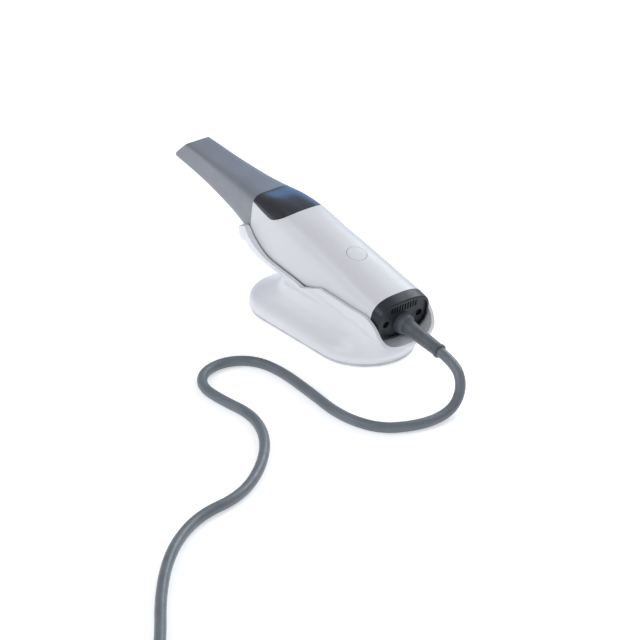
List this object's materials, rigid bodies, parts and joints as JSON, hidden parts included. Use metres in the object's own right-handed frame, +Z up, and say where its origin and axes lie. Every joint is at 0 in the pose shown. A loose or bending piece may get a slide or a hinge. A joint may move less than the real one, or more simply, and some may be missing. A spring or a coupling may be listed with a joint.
{
  "type": "intraoral camera",
  "caption": "Handheld intraoral camera with removable mirror sleeve, top button and USB cable, lying tip-up in its weighted desk cradle.",
  "frame": {"origin": "centre of the cradle's underside, on the surface that it stands on", "axes": "+X towards the camera's tip, +Y to the camera's left, +Z up"},
  "size_m": [0.4583, 0.3444, 0.0717],
  "materials": {
    "white_shell": "gloss",
    "black_panel": "high gloss",
    "charcoal_cap": "fine texture",
    "sleeve_grey": "satin",
    "boot_rubber": "matte",
    "cord_jacket": "satin",
    "screw_steel": "satin",
    "bench_metal": "machined",
    "board_green": "solder mask",
    "chip_black": "matte",
    "lens_glass": "coated",
    "module_black": "anodised look",
    "mirror": "polished",
    "seal_rubber": "matte",
    "pad_rubber": "matte",
    "ballast_steel": "rough",
    "base_grey": "satin",
    "plug_plastic": "satin",
    "plug_steel": "bright",
    "tongue_white": "satin",
    "tie_strap": "woven"
  },
  "bodies": {
    "stand": {"stand_shell": "white_shell", "base_plate": "base_grey", "base_screws": "screw_steel", "grip_pad": "pad_rubber", "ballast_weight": "ballast_steel", "cradle_pads": "pad_rubber"},
    "camera": {"main_housing": "white_shell", "bottom_cover": "white_shell", "cover_screws": "screw_steel", "top_panel": "black_panel", "button_switch": "chip_black", "rear_cap": "charcoal_cap", "rear_screws": "screw_steel", "cable_boot": "boot_rubber", "cable_clamp": "module_black", "optical_bench": "bench_metal", "projector_module": "module_black", "projector_lens": "lens_glass", "camera_modules": "module_black", "camera_lenses": "lens_glass", "main_board": "board_green", "board_chips": "chip_black", "heat_sink": "bench_metal", "fan_housing": "module_black", "nose_barrel": "module_black", "nose_seal": "seal_rubber", "nose_window": "lens_glass", "cord_tube": "cord_jacket", "cord_coil": "cord_jacket", "cord_tail": "cord_jacket", "cord_tie": "tie_strap", "usb_overmould": "plug_plastic", "usb_shell": "plug_steel", "usb_tongue": "tongue_white"},
    "sleeve": {"tip_sleeve": "sleeve_grey", "tip_mirror": "mirror"},
    "button": {"button_cap": "white_shell"},
    "fan": {"fan_rotor": "module_black"}
  },
  "joints": [
    {"name": "scanner_lift", "type": "slide", "parent": "stand", "child": "camera", "axis": [-0.1564, 0, 0.9877], "range_m": [0, 0.07]},
    {"name": "tip_slide", "type": "slide", "parent": "camera", "child": "sleeve", "axis": [0.9877, 0, 0.1564], "range_m": [0, 0.045]},
    {"name": "button_press", "type": "slide", "parent": "camera", "child": "button", "axis": [0.2588, 0, -0.9659], "range_m": [0, 0.0006], "stiffness_N_per_m": 1500},
    {"name": "fan_spin", "type": "hinge", "parent": "camera", "child": "fan", "pos_m": [-0.04249, 0, 0.03997], "axis": [-0.1564, 0, 0.9877], "continuous": true}
  ]
}
